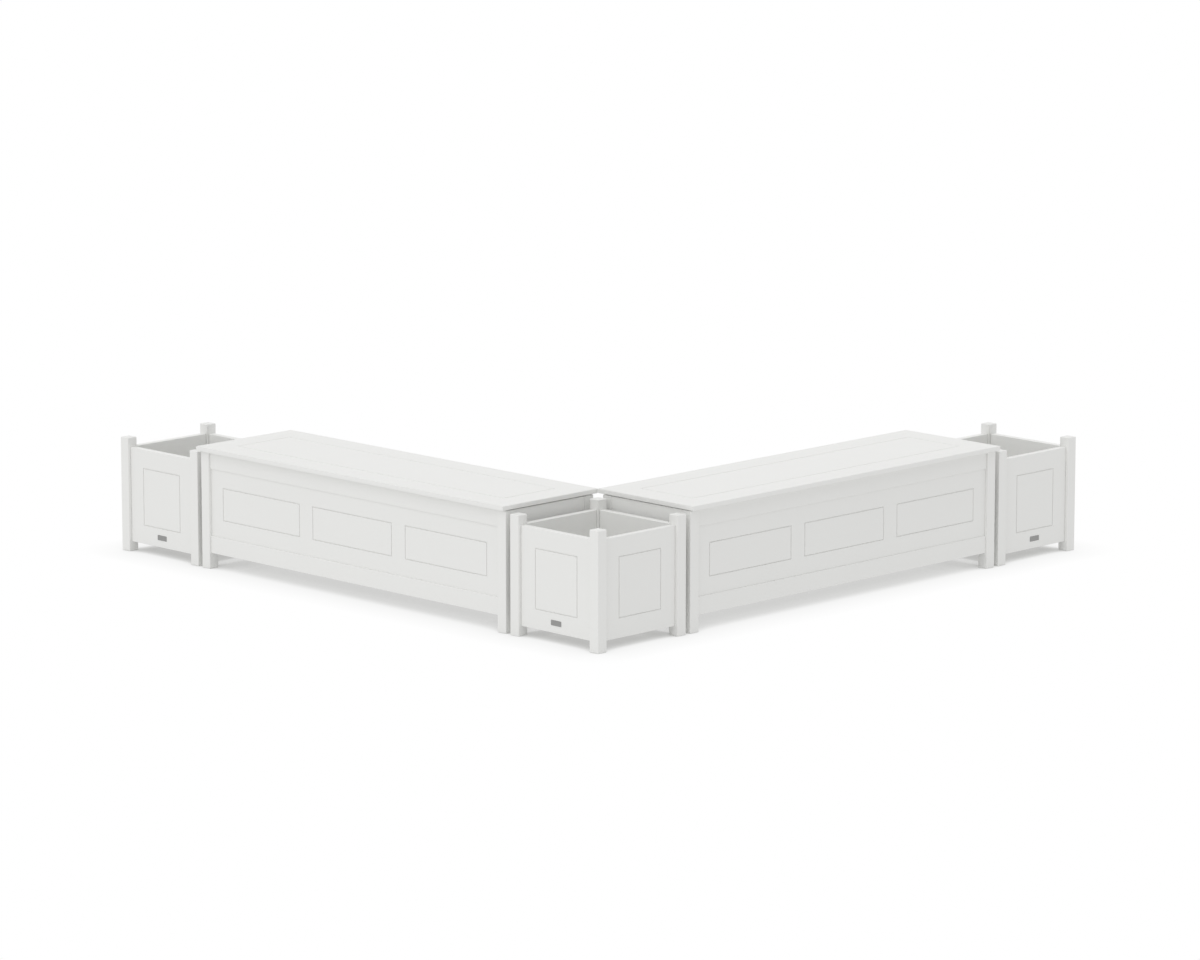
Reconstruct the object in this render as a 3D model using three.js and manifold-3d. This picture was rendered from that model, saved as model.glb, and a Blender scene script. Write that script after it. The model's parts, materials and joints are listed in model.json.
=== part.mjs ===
// A white corner bench set: two long box benches with lift-up lids, one square planter in the
// outer corner between them, and one square planter at each far end.
// Millimetres, +Z up. Both outer fronts face the corner of -Y and +X, the floor is at z = 0, and the
// origin is under the middle of the set.
import * as THREE from 'three';
import { mergeVertices } from 'three/addons/utils/BufferGeometryUtils.js';
import Module from 'manifold-3d';

const wasm = await Module();
wasm.setup();

// Fits: the play that every seated joint has, the wood left between two joints that meet in one
// upright, and how far a cutter runs past the wood.
const PLAY = 0.3;
const OVERRUN = 5;
const TENON_WALL = 3;

// Posts and legs, sawn from one square stock with eased edges.
const POST = 44;
const POST_ROUND = 2.5;
const POST_CHAMFER = 2;

// Planter boxes.
const PLANTER_EXTRA_WIDTH = 2;
const PLANTER_HEIGHT = 445;
const PLANTER_PANEL_LIFT = 38;
const PLANTER_PANEL_DROP = 37;
const PLANTER_PANEL_THICK = 25;
const PLANTER_PANEL_RECESS = 12;
const PLANTER_ROUT_MARGIN = 74;
const TONGUE_THICK = 12;
const BASE_THICK = 12;
const BASE_RISE = 22;
const DRAIN_RADIUS = 10;
const DRAIN_SPREAD = 110;
const DRAIN_SEGMENTS = 8;

// Bench boxes.
const BENCH_LENGTH = 1664;
const BENCH_DEPTH = 446;
const RAIL_RECESS = 7;
const END_RECESS = 2;
const RAIL_THICK = 28;
const RAIL_HEIGHT = 67;
const BOTTOM_RAIL_LIFT = 61;
const FIELD_STEP = 5;
const FIELD_THICK = 12;
const FIELD_ROUTS = 3;
const FIELD_ROUT_END = 68;
const FIELD_ROUT_GAP = 74;
const FIELD_ROUT_TOP = 68;
const FIELD_ROUT_FOOT = 67;
const HOUSING = 8;
const FLOOR_THICK = 12;
const FLOOR_RISE = 12;

// Seat lids. Each bears on its two long rails, and over the legs and the end frames there is air.
const SEAT_HEIGHT = 472;
const LID_THICK = 18;
const LID_AIR = 3;
const LID_ROUND = 3;
const LID_OUTER_OVERHANG = 19;
const LID_INNER_OVERHANG = 18.7;
const LID_END_OVERHANG = 5;
const LID_GAP = 0.3;
const LID_ROUT_MARGIN = 111;

// Routed decorative lines and eased board edges.
const ROUT_WIDTH = 4;
const ROUT_FLAT = 2.5;
const ROUT_DEPTH = 3.5;
const EDGE_EASE = 1.5;

// Continuous hinges.
const KNUCKLE_RADIUS = 3;
const PIN_RADIUS = 1.2;
const LEAF_THICK = 1.2;
const LEAF_WIDTH = 15;
const HINGE_END_GAP = 40;
const KNUCKLE_LENGTH = 62;
const KNUCKLE_SIDES = 8;
const OPEN_STOP_GAP = 0.5;

// Heights and places that follow from the sizes above.
const PLANTER_SIDE = BENCH_DEPTH + PLANTER_EXTRA_WIDTH;
const PLANTER_PANEL_HEIGHT = PLANTER_HEIGHT - PLANTER_PANEL_LIFT - PLANTER_PANEL_DROP;
const TONGUE_NEAR = PLANTER_PANEL_RECESS + (PLANTER_PANEL_THICK - TONGUE_THICK) / 2;
const TONGUE_LENGTH = POST - TONGUE_NEAR - TONGUE_THICK - TENON_WALL;
const MODULE_GAP = LID_INNER_OVERHANG + LID_GAP + LID_END_OVERHANG - PLANTER_EXTRA_WIDTH;
const FIELD_RECESS = RAIL_RECESS + FIELD_STEP;
const TENON_LENGTH = POST - FIELD_RECESS - FIELD_THICK - TENON_WALL;
const TENON_SHOULDER = HOUSING + 2 * PLAY;
const LID_BOTTOM = SEAT_HEIGHT - LID_THICK;
const FRAME_TOP = LID_BOTTOM - PLAY;
const LEG_TOP = LID_BOTTOM - LID_AIR;
const TOP_RAIL_BOTTOM = LID_BOTTOM - RAIL_HEIGHT;
const BOTTOM_RAIL_TOP = BOTTOM_RAIL_LIFT + RAIL_HEIGHT;
const RAIL_INNER = RAIL_RECESS + RAIL_THICK;
const FLOOR_BOTTOM = BOTTOM_RAIL_LIFT + FLOOR_RISE;
const BASE_BOTTOM = PLANTER_PANEL_LIFT + BASE_RISE;
const PANEL_INNER = PLANTER_PANEL_RECESS + PLANTER_PANEL_THICK;
const HINGE_Z = LID_BOTTOM - PLAY - KNUCKLE_RADIUS;
const HINGE_Y = BENCH_DEPTH / 2 + OPEN_STOP_GAP - PLAY - KNUCKLE_RADIUS;
const HINGE_LENGTH = BENCH_LENGTH - 2 * POST - 2 * HINGE_END_GAP;

// The four corners of a box, anticlockwise seen from above, each with its side along x and along y.
const CORNERS = [
  ['front_left', -1, -1],
  ['front_right', 1, -1],
  ['back_right', 1, 1],
  ['back_left', -1, 1],
];
const SIDES = ['front', 'right', 'back', 'left'];

const PAINT = { color: 0xe6e6e3, roughness: 0.5, metalness: 0 };
const STEEL = { color: 0xa9abad, roughness: 0.35, metalness: 1 };

// Turns a closed three.js geometry into a solid for cutting and joining.
function solid(geometry) {
  const bare = geometry.clone();
  bare.deleteAttribute('normal');
  bare.deleteAttribute('uv');
  const merged = mergeVertices(bare);
  const mesh = new wasm.Mesh({
    numProp: 3,
    vertProperties: new Float32Array(merged.attributes.position.array),
    triVerts: new Uint32Array(merged.index.array),
  });
  return new wasm.Manifold(mesh);
}

// Turns a solid back into a three.js mesh with flat faces.
function piece(name, body, finish = PAINT) {
  const cut = body.getMesh();
  const indexed = new THREE.BufferGeometry();
  indexed.setAttribute('position', new THREE.BufferAttribute(new Float32Array(cut.vertProperties), 3));
  indexed.setIndex(new THREE.BufferAttribute(new Uint32Array(cut.triVerts), 1));
  const geometry = indexed.toNonIndexed();
  geometry.computeVertexNormals();
  const mesh = new THREE.Mesh(geometry, new THREE.MeshStandardMaterial(finish));
  mesh.name = name;
  return mesh;
}

// A square-edged block between two values along each axis.
function block([x0, x1], [y0, y1], [z0, z1]) {
  const box = new THREE.BoxGeometry(x1 - x0, y1 - y0, z1 - z0);
  box.translate((x0 + x1) / 2, (y0 + y1) / 2, (z0 + z1) / 2);
  return solid(box);
}

// A closed outline through the given corner points.
function outline(points) {
  return new THREE.Shape(points.map(([x, y]) => new THREE.Vector2(x, y)));
}

// A rectangle centred on the origin, with round corners where a radius is given.
function rectangle(width, height, radius = 0) {
  const [a, b] = [width / 2, height / 2];
  if (radius === 0) {
    return outline([[-a, -b], [a, -b], [a, b], [-a, b]]);
  }
  const shape = new THREE.Shape();
  shape.absarc(a - radius, -b + radius, radius, -Math.PI / 2, 0);
  shape.absarc(a - radius, b - radius, radius, 0, Math.PI / 2);
  shape.absarc(-a + radius, b - radius, radius, Math.PI / 2, Math.PI);
  shape.absarc(-a + radius, -b + radius, radius, Math.PI, 3 * Math.PI / 2);
  shape.closePath();
  return shape;
}

// A board lying on z = 0 with its edges eased on both faces, by one flat or by several that turn.
function easedBoard(shape, thick, ease, steps = 1) {
  return solid(new THREE.ExtrudeGeometry(shape, {
    depth: thick - 2 * ease,
    bevelEnabled: true,
    bevelThickness: ease,
    bevelSize: ease,
    bevelOffset: -ease,
    bevelSegments: steps,
    curveSegments: 3,
  }).translate(0, 0, ease));
}

// A section drawn in (y, z), run along x between two values.
function runAlongX(points, x0, x1) {
  const run = new THREE.ExtrudeGeometry(outline(points), { depth: x1 - x0, bevelEnabled: false });
  const turn = new THREE.Matrix4().makeBasis(
    new THREE.Vector3(0, 1, 0),
    new THREE.Vector3(0, 0, 1),
    new THREE.Vector3(1, 0, 0),
  );
  run.applyMatrix4(turn).translate(x0, 0, 0);
  return solid(run);
}

// The cutter of one routed rectangle: a tapered line that runs round it, cut down from z = 0.
function routedLine(width, height, x = 0, y = 0) {
  const ring = rectangle(width + ROUT_FLAT, height + ROUT_FLAT);
  ring.holes.push(rectangle(width - ROUT_FLAT, height - ROUT_FLAT));
  const cutter = new THREE.ExtrudeGeometry(ring, {
    depth: OVERRUN,
    bevelEnabled: true,
    bevelThickness: ROUT_DEPTH,
    bevelSize: (ROUT_WIDTH - ROUT_FLAT) / 2,
    bevelSegments: 1,
  });
  return solid(cutter.translate(x, y, 0));
}

// Stands a board that lies face up so that its face looks to -Y and its height runs up.
function stood(body) {
  return body.rotate([90, 0, 0]);
}

// An upright of the square stock, on its own axis, with its foot on z = 0.
function upright(height) {
  return easedBoard(rectangle(POST, POST, POST_ROUND), height, POST_CHAMFER);
}

// One slot in the +X face of an upright: its band from the outer face, its heights and its depth.
function slot([near, far], [z0, z1], depth) {
  return block([POST / 2 - depth - PLAY, POST / 2 + OVERRUN], [near - PLAY - POST / 2, far + PLAY - POST / 2],
    [z0 - PLAY, z1 + PLAY]);
}

// The same slots in the +X and the +Y faces, where two sides of a box meet in one upright.
function cutBothWays(body, slots) {
  const swapXY = new THREE.Matrix4().set(0, 1, 0, 0, 1, 0, 0, 0, 0, 0, 1, 0, 0, 0, 0, 1);
  let cut = body;
  for (const cutter of slots) {
    cut = cut.subtract(cutter).subtract(cutter.transform(swapXY.elements));
  }
  return cut;
}

// A board cut back at its four corners to clear the uprights.
function notchedBoard(width, depth, notch, thick, holes = []) {
  const [a, b] = [width / 2, depth / 2];
  const [c, d] = [a - notch, b - notch];
  const shape = outline([[-c, -b], [c, -b], [c, -d], [a, -d], [a, d], [c, d],
    [c, b], [-c, b], [-c, d], [-a, d], [-a, -d], [-c, -d]]);
  for (const [x, y] of holes) {
    shape.holes.push(new THREE.Path().absarc(x, y, DRAIN_RADIUS, 0, 2 * Math.PI, true));
  }
  const board = { depth: thick, bevelEnabled: false, curveSegments: DRAIN_SEGMENTS };
  return solid(new THREE.ExtrudeGeometry(shape, board));
}

// The planter's corner post: slotted on two faces for the tongues of its two panels.
function planterPost() {
  const band = [TONGUE_NEAR, TONGUE_NEAR + TONGUE_THICK];
  const reach = [PLANTER_PANEL_LIFT, PLANTER_PANEL_LIFT + PLANTER_PANEL_HEIGHT];
  return cutBothWays(upright(PLANTER_HEIGHT), [slot(band, reach, TONGUE_LENGTH)]);
}

// The planter's side panel: eased edges, a tongue at each end, a routed rectangle on its face and a
// housing for the base board across its back.
function planterPanel() {
  const width = PLANTER_SIDE - 2 * POST - 2 * PLAY;
  const height = PLANTER_PANEL_HEIGHT;
  const tongueTop = PLANTER_PANEL_THICK + PLANTER_PANEL_RECESS - TONGUE_NEAR;
  const tongueReach = width / 2 + TONGUE_LENGTH;
  const body = easedBoard(rectangle(width, height), PLANTER_PANEL_THICK, EDGE_EASE);
  const tongue = block([-tongueReach, tongueReach], [-height / 2, height / 2],
    [tongueTop - TONGUE_THICK, tongueTop]);
  const rout = routedLine(width - 2 * PLANTER_ROUT_MARGIN, height - 2 * PLANTER_ROUT_MARGIN);
  const housing = block([-width / 2 - PLAY, width / 2 + PLAY],
    [BASE_RISE - PLAY - height / 2, BASE_RISE + BASE_THICK + PLAY - height / 2], [-OVERRUN, HOUSING]);
  const face = body.add(tongue).subtract(housing).subtract(rout.translate([0, 0, PLANTER_PANEL_THICK]));
  return stood(face.translate([0, height / 2, -PLANTER_PANEL_THICK]));
}

// The planter's base board: it lies in the housings of the four panels and has five drain holes.
function planterBase() {
  const side = PLANTER_SIDE - 2 * (PANEL_INNER - HOUSING + PLAY);
  const notch = POST + PLAY - (PLANTER_SIDE - side) / 2;
  const s = DRAIN_SPREAD;
  return notchedBoard(side, side, notch, BASE_THICK, [[0, 0], [-s, -s], [s, -s], [s, s], [-s, s]]);
}

function planter(name, x, y) {
  const group = new THREE.Group();
  group.position.set(x, y, 0);
  const inset = (PLANTER_SIDE - POST) / 2;
  SIDES.forEach((side, turn) => {
    const quarter = new THREE.Group();
    quarter.rotation.z = turn * Math.PI / 2;
    const panel = piece(`${name}_${side}_panel`, planterPanel());
    panel.position.set(0, PLANTER_PANEL_RECESS - PLANTER_SIDE / 2, PLANTER_PANEL_LIFT);
    const post = piece(`${name}_${CORNERS[turn][0]}_post`, planterPost());
    post.position.set(-inset, -inset, 0);
    quarter.add(panel, post);
    group.add(quarter);
  });
  const base = piece(`${name}_base`, planterBase());
  base.position.z = BASE_BOTTOM;
  group.add(base);
  return group;
}

// The bench's leg: a long groove for the two recessed panels, with a mortise for each rail's tenon
// above and below it.
function benchLeg() {
  const band = [FIELD_RECESS, FIELD_RECESS + FIELD_THICK];
  const topTenon = [TOP_RAIL_BOTTOM + TENON_SHOULDER, LEG_TOP - TENON_SHOULDER];
  const bottomTenon = [BOTTOM_RAIL_LIFT + TENON_SHOULDER, BOTTOM_RAIL_TOP - TENON_SHOULDER];
  const mortises = [topTenon, bottomTenon].map((reach) => slot(band, reach, TENON_LENGTH));
  const groove = slot(band, [bottomTenon[1], topTenon[0]], HOUSING);
  return cutBothWays(upright(LEG_TOP), [groove, ...mortises]);
}

// The tenons at both ends of a rail of the given clear length between its legs.
function tenons(clear, z0, z1) {
  const reach = clear / 2 + TENON_LENGTH;
  const band = [FIELD_RECESS, FIELD_RECESS + FIELD_THICK];
  return block([-reach, reach], band, [z0 + TENON_SHOULDER, z1 - TENON_SHOULDER]);
}

// The groove along the edge of a rail that holds the recessed panel.
function fieldGroove(z0, z1) {
  const reach = BENCH_LENGTH / 2;
  return block([-reach, reach], [FIELD_RECESS - PLAY, FIELD_RECESS + FIELD_THICK + PLAY], [z0, z1]);
}

// A rail's section in (y, z), with the two edges of its outer face eased.
function railSection(outer, inner, z0, z1) {
  return [[outer + EDGE_EASE, z0], [inner, z0], [inner, z1], [outer + EDGE_EASE, z1],
    [outer, z1 - EDGE_EASE], [outer, z0 + EDGE_EASE]];
}

// The section of a bottom rail also has the housing of the floor in its inner face.
function bottomRailSection(outer) {
  const [z0, z1] = [BOTTOM_RAIL_LIFT, BOTTOM_RAIL_TOP];
  const [floor0, floor1] = [FLOOR_BOTTOM - PLAY, FLOOR_BOTTOM + FLOOR_THICK + PLAY];
  const deep = RAIL_INNER - HOUSING;
  return [[outer + EDGE_EASE, z0], [RAIL_INNER, z0], [RAIL_INNER, floor0], [deep, floor0],
    [deep, floor1], [RAIL_INNER, floor1], [RAIL_INNER, z1], [outer + EDGE_EASE, z1],
    [outer, z1 - EDGE_EASE], [outer, z0 + EDGE_EASE]];
}

function bottomRail(clear, outer = RAIL_RECESS) {
  const run = runAlongX(bottomRailSection(outer), -clear / 2, clear / 2);
  return run.add(tenons(clear, BOTTOM_RAIL_LIFT, BOTTOM_RAIL_TOP));
}

// The top rail's tenons end below the leg's top, whichever height the rail itself reaches.
function topRail(clear, top, outer = RAIL_RECESS) {
  const run = runAlongX(railSection(outer, RAIL_INNER, TOP_RAIL_BOTTOM, top), -clear / 2, clear / 2);
  return run.add(tenons(clear, TOP_RAIL_BOTTOM, LEG_TOP));
}

// The recessed panel of a bench side, standing in its grooves.
function field(clear) {
  const half = clear / 2 + HOUSING;
  return block([-half, half], [FIELD_RECESS, FIELD_RECESS + FIELD_THICK],
    [BOTTOM_RAIL_TOP - HOUSING, TOP_RAIL_BOTTOM + HOUSING]);
}

// The routed rectangles in the panel of a long side.
function fieldRouts() {
  const clear = BENCH_LENGTH - 2 * POST;
  const width = (clear - 2 * FIELD_ROUT_END - (FIELD_ROUTS - 1) * FIELD_ROUT_GAP) / FIELD_ROUTS;
  const z0 = BOTTOM_RAIL_TOP + FIELD_ROUT_FOOT;
  const z1 = TOP_RAIL_BOTTOM - FIELD_ROUT_TOP;
  const pitch = width + FIELD_ROUT_GAP;
  const cutters = [];
  for (let i = 0; i < FIELD_ROUTS; i += 1) {
    const x = (i - (FIELD_ROUTS - 1) / 2) * pitch;
    cutters.push(stood(routedLine(width, z1 - z0)).translate([x, FIELD_RECESS, (z0 + z1) / 2]));
  }
  return cutters;
}

// A long side of a bench in its own frame: x along it, y inward from the legs' outer faces.
// The back one has a thicker top rail, flush with the legs and rebated for the hinge.
function longSide(name, side) {
  const clear = BENCH_LENGTH - 2 * POST - 2 * PLAY;
  const group = new THREE.Group();
  const topGroove = fieldGroove(TOP_RAIL_BOTTOM - OVERRUN, TOP_RAIL_BOTTOM + HOUSING + PLAY);
  const bottomGroove = fieldGroove(BOTTOM_RAIL_TOP - HOUSING - PLAY, BOTTOM_RAIL_TOP + OVERRUN);
  let top = topRail(clear, FRAME_TOP, side === 'back' ? 0 : RAIL_RECESS).subtract(topGroove);
  if (side === 'back') {
    top = top.subtract(hingeRebate());
  }
  let panel = field(clear);
  for (const cutter of fieldRouts()) {
    panel = panel.subtract(cutter);
  }
  group.add(piece(`${name}_${side}_top_rail`, top));
  group.add(piece(`${name}_${side}_panel`, panel));
  group.add(piece(`${name}_${side}_bottom_rail`, bottomRail(clear).subtract(bottomGroove)));
  group.position.y = side === 'back' ? BENCH_DEPTH / 2 : -BENCH_DEPTH / 2;
  group.rotation.z = side === 'back' ? Math.PI : 0;
  return group;
}

// A short side of a bench: rails and recessed panel in one glued-up frame, with the same joints. Its
// top is level with the legs, and its rails stand nearly flush with the legs' faces.
function endFrame() {
  const clear = BENCH_DEPTH - 2 * POST - 2 * PLAY;
  return topRail(clear, LEG_TOP, END_RECESS).add(bottomRail(clear, END_RECESS)).add(field(clear));
}

// The rebates along the back rail, measured in the long side's frame: a deep one in its face for the
// barrel and the fixed leaf, and a shallow one in its top edge for the leaf under the lid.
function hingeRebate() {
  const axis = BENCH_DEPTH / 2 - HINGE_Y;
  const reach = BENCH_LENGTH / 2;
  const wall = axis + KNUCKLE_RADIUS + PLAY;
  const far = axis + LEAF_WIDTH + PLAY;
  const shelf = HINGE_Z - LEAF_WIDTH - PLAY;
  const seat = HINGE_Z + KNUCKLE_RADIUS - LEAF_THICK - PLAY;
  const top = FRAME_TOP + OVERRUN;
  const deep = block([-reach, reach], [-OVERRUN, wall], [shelf, top]);
  return deep.add(block([-reach, reach], [-OVERRUN, far], [seat, top]));
}

// The floor of a bench: it lies in the housings of its four bottom rails.
function benchFloor() {
  const inset = RAIL_INNER - HOUSING + PLAY;
  return notchedBoard(BENCH_LENGTH - 2 * inset, BENCH_DEPTH - 2 * inset, POST + PLAY - inset, FLOOR_THICK);
}

// The lid: one board with rounded edges and a routed rectangle on top.
function lid() {
  const width = BENCH_LENGTH + 2 * LID_END_OVERHANG;
  const depth = BENCH_DEPTH + LID_OUTER_OVERHANG + LID_INNER_OVERHANG;
  const board = easedBoard(rectangle(width, depth), LID_THICK, LID_ROUND, 2);
  const rout = routedLine(width - 2 * LID_ROUT_MARGIN, depth - 2 * LID_ROUT_MARGIN);
  const middle = (LID_INNER_OVERHANG - LID_OUTER_OVERHANG) / 2;
  return board.subtract(rout.translate([0, 0, LID_THICK])).translate([0, middle, 0]);
}

// A cylinder along x round the hinge's axis.
function barrel(radius, x0, x1) {
  const round = new THREE.CylinderGeometry(radius, radius, x1 - x0, KNUCKLE_SIDES);
  return solid(round.rotateZ(Math.PI / 2).translate((x0 + x1) / 2, 0, 0));
}

// One leaf of the continuous hinge, about its own axis, with its plate running to -Z against the
// plane y = -KNUCKLE_RADIUS. Knuckles alternate between the leaves: this leaf takes every second one.
function hingeLeaf(first, withPin) {
  const count = 2 * Math.floor(HINGE_LENGTH / KNUCKLE_LENGTH / 2) + 1;
  const pitch = HINGE_LENGTH / count;
  const start = -HINGE_LENGTH / 2;
  const plateY = [-KNUCKLE_RADIUS, LEAF_THICK - KNUCKLE_RADIUS];
  let leaf = block([start, -start], plateY, [-LEAF_WIDTH, -KNUCKLE_RADIUS - PLAY]);
  for (let i = first; i < count; i += 2) {
    const ends = [start + i * pitch + PLAY / 2, start + (i + 1) * pitch - PLAY / 2];
    const root = block(ends, plateY, [-KNUCKLE_RADIUS - 2 * PLAY, 0]);
    leaf = leaf.add(root).add(barrel(KNUCKLE_RADIUS, ...ends));
  }
  if (withPin) {
    return leaf.add(barrel(PIN_RADIUS, start + PLAY, -start - PLAY));
  }
  return leaf.subtract(barrel(PIN_RADIUS + PLAY, start - OVERRUN, -start + OVERRUN));
}

function bench(name, x, y, turn) {
  const group = new THREE.Group();
  group.position.set(x, y, 0);
  group.rotation.z = turn;
  group.add(longSide(name, 'front'), longSide(name, 'back'));
  const legX = (BENCH_LENGTH - POST) / 2;
  const legY = (BENCH_DEPTH - POST) / 2;
  CORNERS.forEach(([corner, sideX, sideY], turn) => {
    const leg = piece(`${name}_${corner}_leg`, benchLeg());
    leg.position.set(sideX * legX, sideY * legY, 0);
    leg.rotation.z = turn * Math.PI / 2;
    group.add(leg);
  });
  for (const [end, sign] of [['left', -1], ['right', 1]]) {
    const frame = piece(`${name}_${end}_end_frame`, endFrame());
    frame.position.x = sign * BENCH_LENGTH / 2;
    frame.rotation.z = sign * Math.PI / 2;
    group.add(frame);
  }
  const floor = piece(`${name}_floor`, benchFloor());
  floor.position.z = FLOOR_BOTTOM;
  const seat = piece(`${name}_lid`, lid());
  seat.position.z = LID_BOTTOM;
  const fixed = piece(`${name}_hinge_rail_leaf`, hingeLeaf(0, true), STEEL);
  fixed.position.set(0, HINGE_Y, HINGE_Z);
  const moving = piece(`${name}_hinge_lid_leaf`, hingeLeaf(1, false), STEEL);
  moving.position.set(0, HINGE_Y, HINGE_Z);
  moving.rotation.x = -Math.PI / 2;
  group.add(floor, seat, fixed, moving);
  return group;
}

// The set stands so that the box round it is centred on the origin.
const RUN = 2 * PLANTER_SIDE + 2 * MODULE_GAP + BENCH_LENGTH;
const REACH = (RUN + LID_OUTER_OVERHANG) / 2;
const OUTER = REACH - LID_OUTER_OVERHANG;
const PLANTER_MIDDLE = PLANTER_SIDE / 2;
const BENCH_ALONG = PLANTER_SIDE + MODULE_GAP + BENCH_LENGTH / 2;
const FAR_MIDDLE = RUN - PLANTER_MIDDLE;
const BENCH_ACROSS = BENCH_DEPTH / 2;

const set = new THREE.Group();
set.position.set(OUTER, -OUTER, 0);
set.add(planter('corner_planter', -PLANTER_MIDDLE, PLANTER_MIDDLE));
set.add(planter('left_planter', -FAR_MIDDLE, PLANTER_MIDDLE));
set.add(planter('right_planter', -PLANTER_MIDDLE, FAR_MIDDLE));
set.add(bench('left_bench', -BENCH_ALONG, BENCH_ACROSS, 0));
set.add(bench('right_bench', -BENCH_ACROSS, BENCH_ALONG, Math.PI / 2));

export default set;
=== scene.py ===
# %% [markdown]
# A white timber seating set: two box benches meet at a square planter, and each ends at another planter.
# The imported CAD model is the fixed frame, so every size below is read from it or is a real size in
# metres. The dressed model has to end inside the same box. Modelling the set anew here would risk pieces
# that no longer fit its joints.

# %% Load the frame
import json
import math

import bmesh
import bpy
from mathutils import Matrix, Vector


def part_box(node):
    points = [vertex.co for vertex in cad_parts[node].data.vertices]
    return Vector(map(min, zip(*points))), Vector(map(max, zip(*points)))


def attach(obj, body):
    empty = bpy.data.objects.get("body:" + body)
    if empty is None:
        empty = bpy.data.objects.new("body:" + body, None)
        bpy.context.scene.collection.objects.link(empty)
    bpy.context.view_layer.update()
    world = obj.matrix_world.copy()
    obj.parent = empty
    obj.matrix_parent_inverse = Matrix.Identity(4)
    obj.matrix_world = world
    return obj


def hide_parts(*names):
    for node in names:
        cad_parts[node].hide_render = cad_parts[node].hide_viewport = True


PRINT_DIGITS = 4


def short(values):
    """Numbers rounded to be read."""
    return [round(value, PRINT_DIGITS) for value in values]


scene = bpy.context.scene
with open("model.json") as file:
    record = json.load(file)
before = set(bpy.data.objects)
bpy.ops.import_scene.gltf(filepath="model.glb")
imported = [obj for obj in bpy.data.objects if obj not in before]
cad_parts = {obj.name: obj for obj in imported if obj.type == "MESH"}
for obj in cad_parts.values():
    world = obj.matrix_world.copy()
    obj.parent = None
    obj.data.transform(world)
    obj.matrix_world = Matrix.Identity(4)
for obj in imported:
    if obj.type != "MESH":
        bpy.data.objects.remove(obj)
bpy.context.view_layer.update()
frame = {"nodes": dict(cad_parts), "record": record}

# %% [markdown]
# The photograph was taken with a long lens from the front corner, a little above the seats. A camera
# is its aim, its bearing, its height angle, its distance and its lens, so these are the named values.
# They were found by fitting the edges of the boxes, whose sizes the frame holds. Placing the camera by
# eye would do for a picture, but not for comparing each face with the photograph.

# %% Camera
AZIMUTH = math.radians(45.01)
ELEVATION = math.radians(10.92)
CAMERA_DISTANCE = 21.4105
LENS_MM = 169.64
SENSOR_MM = 36
FAR_CLIP = 300
AIM = Vector((0.2831, -0.2737, 0.3531))

outward = Vector((
    math.sin(AZIMUTH) * math.cos(ELEVATION),
    -math.cos(AZIMUTH) * math.cos(ELEVATION),
    math.sin(ELEVATION),
))
camera_data = bpy.data.cameras.new("studio_camera")
camera_data.lens = LENS_MM
camera_data.sensor_width = SENSOR_MM
camera_data.clip_end = FAR_CLIP
camera = bpy.data.objects.new("studio_camera", camera_data)
camera.location = AIM + outward * CAMERA_DISTANCE
camera.rotation_euler = outward.to_track_quat("Z", "Y").to_euler()
scene.collection.objects.link(camera)
scene.camera = camera
print("camera at", short(camera.location))

# %% [markdown]
# All boards wear one satin white outdoor paint. A brush leaves very fine ridges along each board, and
# the film is a little thicker here and there. Noise that is stretched along the board gives the
# ridges as bump, and a broad soft noise moves the white by a hair. The stretch has to follow the
# board, so there is one material for each direction that a board can run in. An image of brush marks
# would need unwrapped boards and would repeat. Noise needs neither and never repeats.
#
# On the upright boards the routed lines are painted a little darker, as painted shade, and the Ambient
# Occlusion node finds them: with a reach of a few millimetres, and on the board alone, only a groove has
# any surface close in front of it. The lids wear the same paint without that painted shade.

# %% Painted timber
PAINT_WHITE = (0.868, 0.869, 0.852)
PAINT_SHADE = (0.856, 0.857, 0.840)
PAINT_ROUGHNESS = 0.42
STROKE_LENGTHWAYS = 5
STROKE_ACROSS = 420
STROKE_DETAIL = 3
BRUSH_HEIGHT = 0.00006
BRUSH_STRENGTH = 0.35
BROAD_SCALE = 4
BROAD_DETAIL = 2
# The darker white of the painted shade in the routed grooves.
GROOVE_SHADE_WHITE = (0.775, 0.775, 0.755)
GROOVE_REACH = 0.004
GROOVE_SAMPLES = 4


def link(tree, source, target):
    """Join one node's output to another node's input."""
    tree.links.new(source, target)


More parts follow.
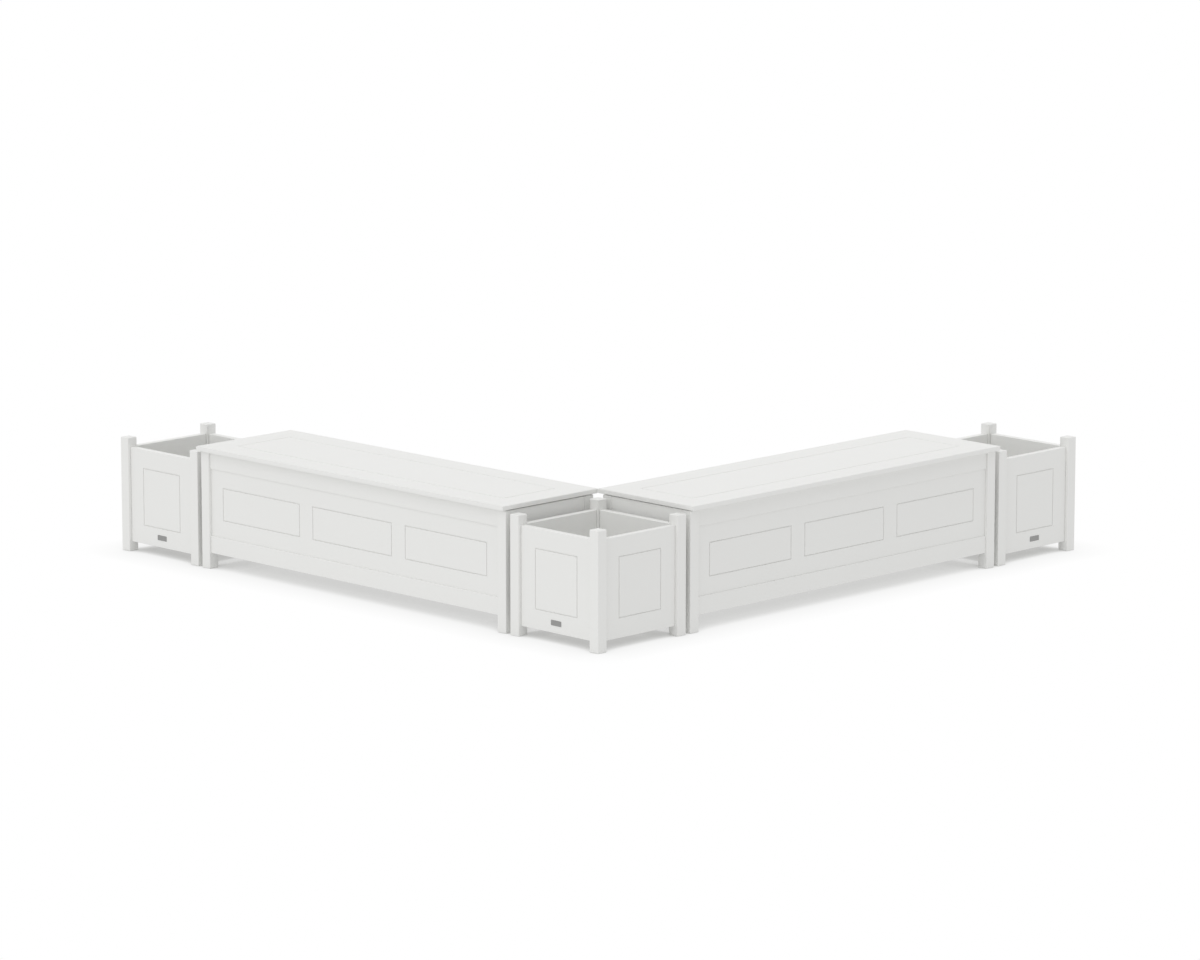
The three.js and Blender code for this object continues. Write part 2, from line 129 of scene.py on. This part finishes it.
def painted_timber(run, shaded_grooves):
    """The white paint on a board that runs along axis number run (0, 1 or 2), with painted shade in its
    routed grooves when the second argument is true.
    """
    material = bpy.data.materials.new(f"{'shaded_grooves' if shaded_grooves else 'plain_grooves'}_white_paint_{'xyz'[run]}")
    material.use_nodes = True
    tree = material.node_tree
    surface = tree.nodes["Principled BSDF"]
    place = tree.nodes.new("ShaderNodeTexCoord")
    stretch = tree.nodes.new("ShaderNodeMapping")
    scales = [STROKE_ACROSS] * 3
    scales[run] = STROKE_LENGTHWAYS
    stretch.inputs["Scale"].default_value = scales
    strokes = tree.nodes.new("ShaderNodeTexNoise")
    strokes.inputs["Scale"].default_value = 1
    strokes.inputs["Detail"].default_value = STROKE_DETAIL
    broad = tree.nodes.new("ShaderNodeTexNoise")
    broad.inputs["Scale"].default_value = BROAD_SCALE
    broad.inputs["Detail"].default_value = BROAD_DETAIL
    white = tree.nodes.new("ShaderNodeMix")
    white.data_type = "RGBA"
    white.inputs["A"].default_value = (*PAINT_WHITE, 1)
    white.inputs["B"].default_value = (*PAINT_SHADE, 1)
    bump = tree.nodes.new("ShaderNodeBump")
    bump.inputs["Strength"].default_value = BRUSH_STRENGTH
    bump.inputs["Distance"].default_value = BRUSH_HEIGHT
    link(tree, place.outputs["Object"], stretch.inputs["Vector"])
    link(tree, stretch.outputs["Vector"], strokes.inputs["Vector"])
    link(tree, place.outputs["Object"], broad.inputs["Vector"])
    link(tree, broad.outputs["Fac"], white.inputs["Factor"])
    colour = white.outputs["Result"]
    # Painted shade: where the Ambient Occlusion node finds a groove close round a point, the white turns
    # darker.
    if shaded_grooves:
        openness = tree.nodes.new("ShaderNodeAmbientOcclusion")
        openness.only_local = True
        openness.samples = GROOVE_SAMPLES
        openness.inputs["Distance"].default_value = GROOVE_REACH
        groove_shade = tree.nodes.new("ShaderNodeMix")
        groove_shade.data_type = "RGBA"
        groove_shade.inputs["A"].default_value = (*GROOVE_SHADE_WHITE, 1)
        link(tree, openness.outputs["AO"], groove_shade.inputs["Factor"])
        link(tree, colour, groove_shade.inputs["B"])
        colour = groove_shade.outputs["Result"]
    link(tree, colour, surface.inputs["Base Color"])
    link(tree, strokes.outputs["Fac"], bump.inputs["Height"])
    link(tree, bump.outputs["Normal"], surface.inputs["Normal"])
    surface.inputs["Roughness"].default_value = PAINT_ROUGHNESS
    return material


# The upright boards get painted shade in their routed grooves; the lids get none.
paint = [painted_timber(run, True) for run in range(3)]
lid_paint = [painted_timber(run, False) for run in range(3)]
print("paints", [material.name for material in paint + lid_paint])

# %% [markdown]
# When a lid opens, its hinge leaf and that leaf's screws go with it, and all the rest stands still. The
# record says which node belongs to which moving body. Each piece made here is told at once which body
# it rides on and which material it wears. Parenting all the pieces at the end would work too,
# but one forgotten screw would then hang in the air over an open bench.

# %% Pieces and their bodies
body_of_node = {}
for body, members in frame["record"]["behaviour"]["bodies"].items():
    for member in members:
        body_of_node[member] = body


def longest_side(low, high):
    """The number of the axis along which a box is longest."""
    sides = list(high - low)
    return sides.index(max(sides))


def add_piece(name, mesh, material, body):
    """An object for a finished mesh, which moves with a body and wears the given material."""
    mesh.materials.clear()
    mesh.materials.append(material)
    piece = bpy.data.objects.new(name, mesh)
    scene.collection.objects.link(piece)
    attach(piece, body)
    return piece


# %% [markdown]
# A painted board has no razor edge. It is sanded before it is painted, and the film of paint rounds
# what is left, so each edge catches a thin line of light. A copy of each CAD board is therefore
# cleaned of the lines that only cut up its flat faces, and its edges get a narrow round bevel. The
# copy keeps the board's size and place, because a bevel only takes wood away. A modifier does this,
# and not edits by hand, so it follows when the CAD changes. The posts and legs have round arrises and
# a chamfered top in the CAD already. They get no second bevel, which would have no room on the short
# edges at their tops, and they are shaded flat, because their long narrow roundings would tilt the
# shading of the small faces up there. The brush runs along a board's longest side, so its own box
# says which paint it takes.

# %% Sanded and painted boards
EDGE_RADIUS = 0.0007
LID_EDGE_RADIUS = 0.0003
EDGE_STEPS = 2
SHARP_EDGE = math.radians(34)
SAME_POINT = 0.000002
SAME_PLANE = math.radians(0.5)


def clean_copy(node):
    """The node's mesh with its corners joined and its flat faces whole."""
    mesh = node.data.copy()
    shape = bmesh.new()
    shape.from_mesh(mesh)
    bmesh.ops.remove_doubles(shape, verts=shape.verts, dist=SAME_POINT)
    bmesh.ops.dissolve_limit(shape, angle_limit=SAME_PLANE, verts=shape.verts, edges=shape.edges)
    bmesh.ops.recalc_face_normals(shape, faces=shape.faces)
    for face in shape.faces:
        face.smooth = True
    shape.to_mesh(mesh)
    shape.free()
    return mesh


def round_edges(piece, radius, steps):
    """A round bevel on every sharp edge, with the flat faces kept flat in the shading."""
    bevel = piece.modifiers.new("rounded_edges", "BEVEL")
    bevel.width = radius
    bevel.segments = steps
    bevel.limit_method = "ANGLE"
    bevel.angle_limit = SHARP_EDGE
    bevel.use_clamp_overlap = False
    weight = piece.modifiers.new("flat_faces", "WEIGHTED_NORMAL")
    weight.keep_sharp = True


boards = [name for name in frame["nodes"] if "hinge" not in name]
for name in boards:
    run = longest_side(*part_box(name))
    is_lid = name.endswith("_lid")
    coat = lid_paint[run] if is_lid else paint[run]
    mesh = clean_copy(frame["nodes"][name])
    board = add_piece(f"{name}_painted", mesh, coat, body_of_node[name])
    if name.endswith(("_post", "_leg")):
        board.data.shade_flat()
    else:
        round_edges(board, LID_EDGE_RADIUS if is_lid else EDGE_RADIUS, EDGE_STEPS)
    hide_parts(name)
print("painted boards", len(boards))

# %% [markdown]
# The small metal parts of the set are turned, punched or drawn, so each is one outline that changes a
# little through its depth. They are made as stacks of outlines: each outline is a ring of points, the
# rings are bridged one to the next, and the first and last are closed. Cubes and cylinders with
# bevels would come close, but a stack also gives a dome and a pressed cross with the same few lines.

# %% Stacked outlines
RING_POINTS = 32
FULL_TURN = math.radians(360)
HALF_TURN = math.radians(180)
QUARTER_TURN = math.radians(90)


def stack(rings, shape=None):
    """A closed form through rings of equal length, from the back one to the front one."""
    shape = shape or bmesh.new()
    rows = [[shape.verts.new(point) for point in ring] for ring in rings]
    count = len(rows[0])
    for back, front in zip(rows, rows[1:]):
        for i in range(count):
            j = (i + 1) % count
            shape.faces.new((back[i], back[j], front[j], front[i]))
    shape.faces.new(list(reversed(rows[0])))
    shape.faces.new(rows[-1])
    return shape


def circle(radius, depth):
    """The points of a circle in a plane at the given depth."""
    ring = []
    for number in range(RING_POINTS):
        angle = FULL_TURN * number / RING_POINTS
        ring.append(Vector((radius * math.cos(angle), radius * math.sin(angle), depth)))
    return ring


def mesh_from(name, shape, place):
    """The finished mesh of a shape, moved to its place, smooth but for its sharp edges."""
    mesh = bpy.data.meshes.new(name)
    shape.transform(place)
    for face in shape.faces:
        face.smooth = True
    shape.to_mesh(mesh)
    shape.free()
    mesh.set_sharp_from_angle(angle=SHARP_EDGE)
    return mesh


print("points in a round outline", RING_POINTS)

# %% [markdown]
# Each planter has one small grey metal plate low on its outer face. Such plates are cast or punched in
# a zinc alloy and blasted, which leaves a fine dull grain. One noise drives the grey, the gloss and a
# slight bump together, because on the real metal one grain is the cause of all three.

# %% Blasted metal
PLATE_GREY = (0.36, 0.36, 0.355)
PLATE_DULL_GREY = (0.31, 0.31, 0.305)
PLATE_ROUGHNESS = (0.5, 0.68)
PLATE_GRAIN = 900
PLATE_GRAIN_DETAIL = 3
PLATE_GRAIN_HEIGHT = 0.00003


def grey_metal():
    """Blasted zinc: a fine grain that changes its grey, its gloss and its height together."""
    material = bpy.data.materials.new("plate_metal")
    material.use_nodes = True
    tree = material.node_tree
    surface = tree.nodes["Principled BSDF"]
    surface.inputs["Metallic"].default_value = 1
    place = tree.nodes.new("ShaderNodeTexCoord")
    grain = tree.nodes.new("ShaderNodeTexNoise")
    grain.inputs["Scale"].default_value = PLATE_GRAIN
    grain.inputs["Detail"].default_value = PLATE_GRAIN_DETAIL
    grey = tree.nodes.new("ShaderNodeMix")
    grey.data_type = "RGBA"
    grey.inputs["A"].default_value = (*PLATE_GREY, 1)
    grey.inputs["B"].default_value = (*PLATE_DULL_GREY, 1)
    rough = tree.nodes.new("ShaderNodeMapRange")
    rough.inputs["To Min"].default_value = PLATE_ROUGHNESS[0]
    rough.inputs["To Max"].default_value = PLATE_ROUGHNESS[1]
    bump = tree.nodes.new("ShaderNodeBump")
    bump.inputs["Distance"].default_value = PLATE_GRAIN_HEIGHT
    link(tree, place.outputs["Object"], grain.inputs["Vector"])
    link(tree, grain.outputs["Fac"], grey.inputs["Factor"])
    link(tree, grain.outputs["Fac"], rough.inputs["Value"])
    link(tree, grain.outputs["Fac"], bump.inputs["Height"])
    link(tree, grey.outputs["Result"], surface.inputs["Base Color"])
    link(tree, rough.outputs["Result"], surface.inputs["Roughness"])
    link(tree, bump.outputs["Normal"], surface.inputs["Normal"])
    return material


plate_metal = grey_metal()
print("metal", plate_metal.name)

# %% [markdown]
# The plates are bare here. A plate has round corners, its front edge is broken, and two domed pins
# hold it. Bevelling a cube would give one radius to all its edges, but here the corners are six times
# as round as the front edge, so the plate is a stack of rectangles with round corners.

# %% Plate and pins
PLATE_WIDTH = 0.052
PLATE_HEIGHT = 0.020
PLATE_THICK = 0.0012
PLATE_CORNER = 0.0025
PLATE_BEVEL = 0.0004
CORNER_STEPS = 6
PIN_RADIUS = 0.0018
PIN_RISE = 0.0009
PIN_INSET = 0.005
DOME_LEVELS = 5


def rounded_ring(width, height, corner, depth):
    """The points of a rectangle with round corners, lying in a plane at the given depth."""
    ring = []
    for quarter in range(4):
        side_x = 1 if quarter in (0, 3) else -1
        side_y = 1 if quarter in (0, 1) else -1
        for step in range(CORNER_STEPS + 1):
            angle = QUARTER_TURN * (quarter + step / CORNER_STEPS)
            x = side_x * (width / 2 - corner) + corner * math.cos(angle)
            y = side_y * (height / 2 - corner) + corner * math.sin(angle)
            ring.append(Vector((x, y, depth)))
    return ring


def plate_shape():
    """The punched plate, with its front edge broken by a small bevel."""
    face_width = PLATE_WIDTH - 2 * PLATE_BEVEL
    face_height = PLATE_HEIGHT - 2 * PLATE_BEVEL
    return stack([
        rounded_ring(PLATE_WIDTH, PLATE_HEIGHT, PLATE_CORNER, 0),
        rounded_ring(PLATE_WIDTH, PLATE_HEIGHT, PLATE_CORNER, PLATE_THICK - PLATE_BEVEL),
        rounded_ring(face_width, face_height, PLATE_CORNER - PLATE_BEVEL, PLATE_THICK),
    ])


def dome_shape(x, radius, rise, base):
    """A pin's low domed head, standing on the plate at x."""
    rings = []
    for level in range(DOME_LEVELS):
        angle = QUARTER_TURN * level / DOME_LEVELS
        ring = circle(radius * math.cos(angle), base + rise * math.sin(angle))
        rings.append([point + Vector((x, 0, 0)) for point in ring])
    return stack(rings)


print("plate size", PLATE_WIDTH, PLATE_HEIGHT, PLATE_THICK)

# %% [markdown]
# Plate and pins are drawn face up at the origin, and the panel's own box says where they go, so that
# they lie on the board whatever the board's size. Typing their places would be shorter, but then they
# would float or sink when a planter changes.

# %% Bare plates
PLATE_MIDDLE_Z = 0.0755


def stand_against(panel, outward_axis, sign):
    """The matrix that puts a shape made face up in front of a panel's outer face, upright."""
    low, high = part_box(panel)
    place = (low + high) / 2
    place[outward_axis] = (high if sign > 0 else low)[outward_axis]
    place.z = PLATE_MIDDLE_Z
    facing = Vector((0, 0, 0))
    facing[outward_axis] = sign
    upwards = Vector((0, 0, 1))
    across = upwards.cross(facing)
    turn = Matrix((across, upwards, facing)).transposed().to_4x4()
    return Matrix.Translation(place) @ turn


PIN_X = PLATE_WIDTH / 2 - PIN_INSET
PLATES = [
    ("left_planter", "front", 1, -1),
    ("corner_planter", "front", 1, -1),
    ("right_planter", "right", 0, 1),
]
for planter, side, outward_axis, sign in PLATES:
    place = stand_against(f"{planter}_{side}_panel", outward_axis, sign)
    parts = [("plate", plate_shape())]
    for pin, x in (("left_pin", -PIN_X), ("right_pin", PIN_X)):
        parts.append((f"plate_{pin}", dome_shape(x, PIN_RADIUS, PIN_RISE, PLATE_THICK)))
    for part, shape in parts:
        mesh = mesh_from(f"{planter}_{part}", shape, place)
        add_piece(f"{planter}_{part}", mesh, plate_metal, "set")
print("plates", [planter for planter, *_ in PLATES])

# %% [markdown]
# The hinges are plain rolled stainless steel: a metal with fine streaks along the strip. The streaks
# could be a bump, but rolling leaves lines too fine to cast shadows, so they only change the gloss.

# %% Hinge steel
STEEL_GREY = (0.62, 0.63, 0.64)
STEEL_ROUGHNESS = (0.28, 0.42)
STREAKS_LENGTHWAYS = 30
STREAKS_ACROSS = 3000


def brushed_steel(name, run):
    """Steel whose streaks run along axis number run (0, 1 or 2)."""
    material = bpy.data.materials.new(name)
    material.use_nodes = True
    tree = material.node_tree
    surface = tree.nodes["Principled BSDF"]
    surface.inputs["Base Color"].default_value = (*STEEL_GREY, 1)
    surface.inputs["Metallic"].default_value = 1
    place = tree.nodes.new("ShaderNodeTexCoord")
    stretch = tree.nodes.new("ShaderNodeMapping")
    scales = [STREAKS_ACROSS] * 3
    scales[run] = STREAKS_LENGTHWAYS
    stretch.inputs["Scale"].default_value = scales
    streaks = tree.nodes.new("ShaderNodeTexNoise")
    streaks.inputs["Scale"].default_value = 1
    rough = tree.nodes.new("ShaderNodeMapRange")
    rough.inputs["To Min"].default_value = STEEL_ROUGHNESS[0]
    rough.inputs["To Max"].default_value = STEEL_ROUGHNESS[1]
    link(tree, place.outputs["Object"], stretch.inputs["Vector"])
    link(tree, stretch.outputs["Vector"], streaks.inputs["Vector"])
    link(tree, streaks.outputs["Fac"], rough.inputs["Value"])
    link(tree, rough.outputs["Result"], surface.inputs["Roughness"])
    return material


steel = [brushed_steel(f"hinge_steel_{'xyz'[run]}", run) for run in range(3)]
print("steels", [material.name for material in steel])

# %% [markdown]
# The lids hang on continuous hinges. Such a hinge is two long strips of steel with tongues along one
# edge, and the tongues of both are rolled round one pin, turn and turn about. The scene makes a leaf
# in the same way: a sheet of faces is laid out flat and its tongues follow a circle round the pin.
# Twenty-five tubes joined to a bar would look alike from afar, but they would miss the open seam where
# each roll ends.

# %% Rolled leaves
LEAF_WIDTH = 0.015
NECK_DEPTH = 0.0033
ROLL_RADIUS = 0.003
ROLL_TURN = math.radians(295)
ROLL_STEPS = 20
KNUCKLE_COUNT = 25
KNUCKLE_PLAY = 0.0003
MICRON_DIGITS = 6


def leaf_line():
    """The sheet seen from its end: up the plate, then round the pin."""
    line = [(-ROLL_RADIUS, -LEAF_WIDTH), (-ROLL_RADIUS, -NECK_DEPTH)]
    for step in range(ROLL_STEPS + 1):
        angle = HALF_TURN - ROLL_TURN * step / ROLL_STEPS
        line.append((ROLL_RADIUS * math.cos(angle), ROLL_RADIUS * math.sin(angle)))
    return line


def leaf_sheet(length, first):
    """One leaf as a bare sheet. Every second knuckle is its own, from knuckle number first."""
    pitch = length / KNUCKLE_COUNT
    tongues = []
    for number in range(first, KNUCKLE_COUNT, 2):
        start = number * pitch - length / 2 + KNUCKLE_PLAY / 2
        stop = start + pitch - KNUCKLE_PLAY
        tongues.append((round(start, MICRON_DIGITS), round(stop, MICRON_DIGITS)))
    end = round(length / 2 - KNUCKLE_PLAY / 2, MICRON_DIGITS)
    cuts = sorted({-end, end, *(x for tongue in tongues for x in tongue)})
    line = leaf_line()
    shape = bmesh.new()
    plate = {x: [shape.verts.new((x, y, z)) for y, z in line[:2]] for x in cuts}
    for a, b in zip(cuts, cuts[1:]):
        shape.faces.new((plate[a][0], plate[b][0], plate[b][1], plate[a][1]))
    for a, b in tongues:
        edge = (plate[a][1], plate[b][1])
        for y, z in line[2:]:
            further = (shape.verts.new((a, y, z)), shape.verts.new((b, y, z)))
            shape.faces.new((edge[0], edge[1], further[1], further[0]))
            edge = further
    return shape


print("knuckles on a hinge", KNUCKLE_COUNT)

# %% [markdown]
# Solidify gives the sheets the thickness of the steel on the inner side of the roll, so their outer
# size stays that of the CAD leaf. A leaf is drawn along x with its pin at the origin. The box of the
# CAD leaf says where it goes, and the leaf on the lid is the same shape turned a quarter round the pin.

# %% Continuous hinges
LEAF_THICK = 0.0012
LEAF_EDGE = 0.00012
LEAF_EDGE_STEPS = 1
INWARDS = -1
HINGE_PIN_RADIUS = 0.0016
HINGE_PIN_END = 0.0003


def pin_shape(length):
    """The pin along x, with its two ends a little rounded."""
    half = length / 2 - KNUCKLE_PLAY
    thin = HINGE_PIN_RADIUS - HINGE_PIN_END
    shape = stack([
        circle(thin, -half),
        circle(HINGE_PIN_RADIUS, HINGE_PIN_END - half),
        circle(HINGE_PIN_RADIUS, half - HINGE_PIN_END),
        circle(thin, half),
    ])
    shape.transform(Matrix.Rotation(QUARTER_TURN, 4, "Y"))
    return shape


def hinge_place(bench):
    """The matrix that takes a leaf's own frame to a bench, the hinge's length and its direction."""
    low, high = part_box(f"{bench}_hinge_rail_leaf")
    run = longest_side(low, high)
    axis = (low + high) / 2
    axis.z = high.z - ROLL_RADIUS
    turn = Matrix.Rotation(QUARTER_TURN * run, 4, "Z")
    return Matrix.Translation(axis) @ turn, (high - low)[run], run


LID_TURN = Matrix.Rotation(-QUARTER_TURN, 4, "X")
hinges = {}
for bench in ("left_bench", "right_bench"):
    place, length, run = hinge_place(bench)
    hinges[bench] = (place, length, run)
    for leaf, first, turn in (("rail_leaf", 0, Matrix()), ("lid_leaf", 1, LID_TURN)):
        node = f"{bench}_hinge_{leaf}"
        mesh = mesh_from(f"{node}_rolled", leaf_sheet(length, first), place @ turn)
        piece = add_piece(f"{node}_rolled", mesh, steel[run], body_of_node[node])
        sheet = piece.modifiers.new("sheet_steel", "SOLIDIFY")
        sheet.thickness = LEAF_THICK
        sheet.offset = INWARDS
        sheet.use_even_offset = True
        round_edges(piece, LEAF_EDGE, LEAF_EDGE_STEPS)
        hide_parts(node)
    mesh = mesh_from(f"{bench}_hinge_pin", pin_shape(length), place)
    add_piece(f"{bench}_hinge_pin", mesh, steel[run], "set")
    print(bench, "hinge axis at", short(place.translation))

# %% [markdown]
# A row of countersunk screws holds each leaf. A head is turned on a lathe, so it is a stack of
# circles, and the driver's cross is pressed into it as the last two outlines. A cut with a boolean
# would give the same cross, with far more work for Blender. The screws in the lid's leaf lie almost
# flush, because that leaf folds down close to the rail.

# %% Hinge screws
SCREW_COUNT = 11
SCREW_END_GAP = 0.040
SCREW_DROP = 0.0092
SCREW_RADIUS = 0.0024
SCREW_SUNK = 0.0008
SCREW_RISE = {"rail_leaf": 0.0006, "lid_leaf": 0.00022}
HEAD_CURVE = [(1.00, 0.20), (0.87, 0.75), (0.62, 1.00)]
CROSS_ARM = 0.0012
CROSS_HALF_WIDTH = 0.0003
CROSS_DEPTH_SHARE = 0.92
CROSS_TAPER = 0.8


def cross(arm, half_width, depth):
    """The points of a four-armed cross in a plane at the given depth."""
    ring = []
    for point in circle(1, depth):
        longer = max(abs(point.x), abs(point.y))
        shorter = min(abs(point.x), abs(point.y))
        reach = min(arm / longer, half_width / max(shorter, half_width / arm))
        ring.append(Vector((point.x * reach, point.y * reach, depth)))
    return ring


def screw_row(length, rise):
    """All the heads of one leaf, face up, in a row along x."""
    outlines = [circle(SCREW_RADIUS, -SCREW_SUNK)]
    for width, height in HEAD_CURVE:
        outlines.append(circle(SCREW_RADIUS * width, rise * height))
    bottom = rise * (1 - CROSS_DEPTH_SHARE)
    outlines.append(cross(CROSS_ARM, CROSS_HALF_WIDTH, rise))
    outlines.append(cross(CROSS_ARM * CROSS_TAPER, CROSS_HALF_WIDTH * CROSS_TAPER, bottom))
    shape = bmesh.new()
    row_length = length - 2 * SCREW_END_GAP
    for number in range(SCREW_COUNT):
        share = number / (SCREW_COUNT - 1)
        along = Vector(((share - 0.5) * row_length, 0, 0))
        stack([[point + along for point in outline] for outline in outlines], shape)
    return shape


UP_TO_INNER_FACE = Matrix.Translation((0, LEAF_THICK - ROLL_RADIUS, -SCREW_DROP))
UP_TO_INNER_FACE = UP_TO_INNER_FACE @ Matrix.Rotation(-QUARTER_TURN, 4, "X")
for bench, (place, length, run) in hinges.items():
    for leaf, turn in (("rail_leaf", Matrix()), ("lid_leaf", LID_TURN)):
        name = f"{bench}_hinge_{leaf}_screws"
        mesh = mesh_from(name, screw_row(length, SCREW_RISE[leaf]), place @ turn @ UP_TO_INNER_FACE)
        add_piece(name, mesh, steel[run], body_of_node[f"{bench}_hinge_{leaf}"])
print("hinge screws", SCREW_COUNT * 2 * len(hinges))

# %% [markdown]
# Metal and glass mirror the studio, and a studio that gave them anything but its printed white would
# show in them as a grey room. So the floor and the world ask each ray what it is for. A ray that draws
# the picture, from the camera or by a mirror, sees their printed look. A ray that only carries light
# sees the light that they give.

# %% Rays that draw the picture
def seen_or_mirrored(tree):
    """One for the rays that draw a picture: the camera's own, and those seen in metal or glass."""
    ray = tree.nodes.new("ShaderNodeLightPath")
    pictured = ray.outputs["Is Camera Ray"]
    for kind in ("Is Glossy Ray", "Is Transmission Ray"):
        either = tree.nodes.new("ShaderNodeMath")
        either.operation = "MAXIMUM"
        link(tree, pictured, either.inputs[0])
        link(tree, ray.outputs[kind], either.inputs[1])
        pictured = either.outputs["Value"]
    return pictured


scene.view_settings.view_transform = "Standard"
print("view transform", scene.view_settings.view_transform)

# %% [markdown]
# The studio is a white sweep, printed very light: the floor is pure white a hand's width away from the
# boxes, greys softly up to them, and is a middle grey under them. That shade depends only on how
# much of the air round a floor point is taken up, which is what the Ambient Occlusion node measures.
# A colour ramp turns it into the print's grey. A floor lit by the lamps would have shadows too, but in
# a print this light the lamps that suit the boards would leave the floor grey.

# %% Shades of the floor
SHADE_REACH = 0.18
SHADE_SAMPLES = 16
SHADE_STOPS = [
    (0.00, 0.530), (0.12, 0.590), (0.16, 0.670), (0.27, 0.745), (0.36, 0.800),
    (0.48, 0.871), (0.60, 0.915), (0.77, 0.950), (0.94, 0.980), (1.00, 1.000),
]
SHADE_BLUE_LOSS = 0.035


def floor_shade(tree, levels, reach, samples):
    """The grey of the floor, from how open the air is round each of its points."""
    openness = tree.nodes.new("ShaderNodeAmbientOcclusion")
    openness.samples = samples
    openness.inputs["Distance"].default_value = reach
    ramp = tree.nodes.new("ShaderNodeValToRGB")
    stops = ramp.color_ramp.elements
    while len(stops) < len(levels):
        stops.new(1)
    for stop, (position, level) in zip(stops, levels):
        stop.position = position
        stop.color = (level, level, level * (1 - SHADE_BLUE_LOSS * (1 - level)), 1)
    link(tree, openness.outputs["AO"], ramp.inputs["Fac"])
    return ramp.outputs["Color"]


print("shades", len(SHADE_STOPS), "from", SHADE_STOPS[0][1], "to", SHADE_STOPS[-1][1])

# %% [markdown]
# A second measure with a shorter reach tells the low planters from the higher benches, because the
# floor is darkest where a box comes down close to it. The two greys are multiplied. The rays that
# carry light see the floor as a glow instead, because a real white floor throws light up at the
# boards, right down to their feet. Under the boxes little light gets in, so there the first measure
# makes the glow weaker.

# %% Floor
FLOOR_SIZE = 240
FLOOR_GLOW = 0.841
DEEP_REACH = 0.09
DEEP_STOPS = [(0.30, 0.79), (0.46, 0.88), (0.66, 1.00)]
GLOW_SAMPLES = 2
GLOW_STOPS = [(0.00, 0.25), (0.25, 0.50), (0.50, 0.95), (0.65, 1.00)]

bpy.ops.mesh.primitive_plane_add(size=FLOOR_SIZE)
floor = bpy.context.object
floor.name = "studio_floor"
floor_material = bpy.data.materials.new("studio_floor")
floor_material.use_nodes = True
floor_material.cycles.emission_sampling = "NONE"
tree = floor_material.node_tree
tree.nodes.clear()
shaded = tree.nodes.new("ShaderNodeEmission")
even = tree.nodes.new("ShaderNodeEmission")
even.inputs["Strength"].default_value = FLOOR_GLOW
choose = tree.nodes.new("ShaderNodeMixShader")
out = tree.nodes.new("ShaderNodeOutputMaterial")
greys = tree.nodes.new("ShaderNodeMix")
greys.data_type = "RGBA"
greys.blend_type = "MULTIPLY"
greys.inputs["Factor"].default_value = 1
link(tree, floor_shade(tree, SHADE_STOPS, SHADE_REACH, SHADE_SAMPLES), greys.inputs["A"])
link(tree, floor_shade(tree, DEEP_STOPS, DEEP_REACH, SHADE_SAMPLES), greys.inputs["B"])
link(tree, greys.outputs["Result"], shaded.inputs["Color"])
link(tree, floor_shade(tree, GLOW_STOPS, SHADE_REACH, GLOW_SAMPLES), even.inputs["Color"])
link(tree, seen_or_mirrored(tree), choose.inputs["Fac"])
link(tree, even.outputs["Emission"], choose.inputs[1])
link(tree, shaded.outputs["Emission"], choose.inputs[2])
link(tree, choose.outputs["Shader"], out.inputs["Surface"])
floor.data.materials.append(floor_material)
print("floor glow", FLOOR_GLOW)

# %% [markdown]
# Round the set stands a white room, whose walls send soft light from all sides. A picture of a real
# studio would do this too, but it would bring its own stands and windows into the hinges and plates.
# A plain white has neither. It lights the boards at a measured strength and prints as pure white.

# %% World
WORLD_LIGHT = 0.643
world = bpy.data.worlds.new("studio_world")
scene.world = world
world.use_nodes = True
tree = world.node_tree
tree.nodes.clear()
light = tree.nodes.new("ShaderNodeBackground")
light.inputs["Color"].default_value = (1, 1, 1, 1)
light.inputs["Strength"].default_value = WORLD_LIGHT
white_wall = tree.nodes.new("ShaderNodeBackground")
white_wall.inputs["Color"].default_value = (1, 1, 1, 1)
white_wall.inputs["Strength"].default_value = 1
choose = tree.nodes.new("ShaderNodeMixShader")
out = tree.nodes.new("ShaderNodeOutputWorld")
link(tree, seen_or_mirrored(tree), choose.inputs["Fac"])
link(tree, light.outputs["Background"], choose.inputs[1])
link(tree, white_wall.outputs["Background"], choose.inputs[2])
link(tree, choose.outputs["Shader"], out.inputs["Surface"])
print("world light", WORLD_LIGHT)

# %% [markdown]
# Two very wide soft lamps model the faces: one overhead, which makes the lids the lightest, and the
# key from the left, in front and above, which makes the left-hand faces lighter than the right-hand
# ones. Suns are used and not area lamps, because their light is equally strong on all five boxes.

# %% Lamps
OVERHEAD_STRENGTH = 0.541
KEY_STRENGTH = 0.475
OVERHEAD_FROM = Vector((0, 0, 1))
KEY_FROM = Vector((0, -1, 0.84))
WIDE_SPREAD = math.radians(90)
KEY_SPREAD = math.radians(60)


def soft_sun(name, towards, strength, spread):
    """A sun that shines from a direction, with shadows as soft as its spread is wide."""
    data = bpy.data.lights.new(name, "SUN")
    data.energy = strength
    data.angle = spread
    sun = bpy.data.objects.new(name, data)
    sun.rotation_euler = towards.to_track_quat("Z", "Y").to_euler()
    scene.collection.objects.link(sun)


soft_sun("overhead", OVERHEAD_FROM, OVERHEAD_STRENGTH, WIDE_SPREAD)
soft_sun("key", KEY_FROM, KEY_STRENGTH, KEY_SPREAD)
print("lamps", OVERHEAD_STRENGTH, KEY_STRENGTH)
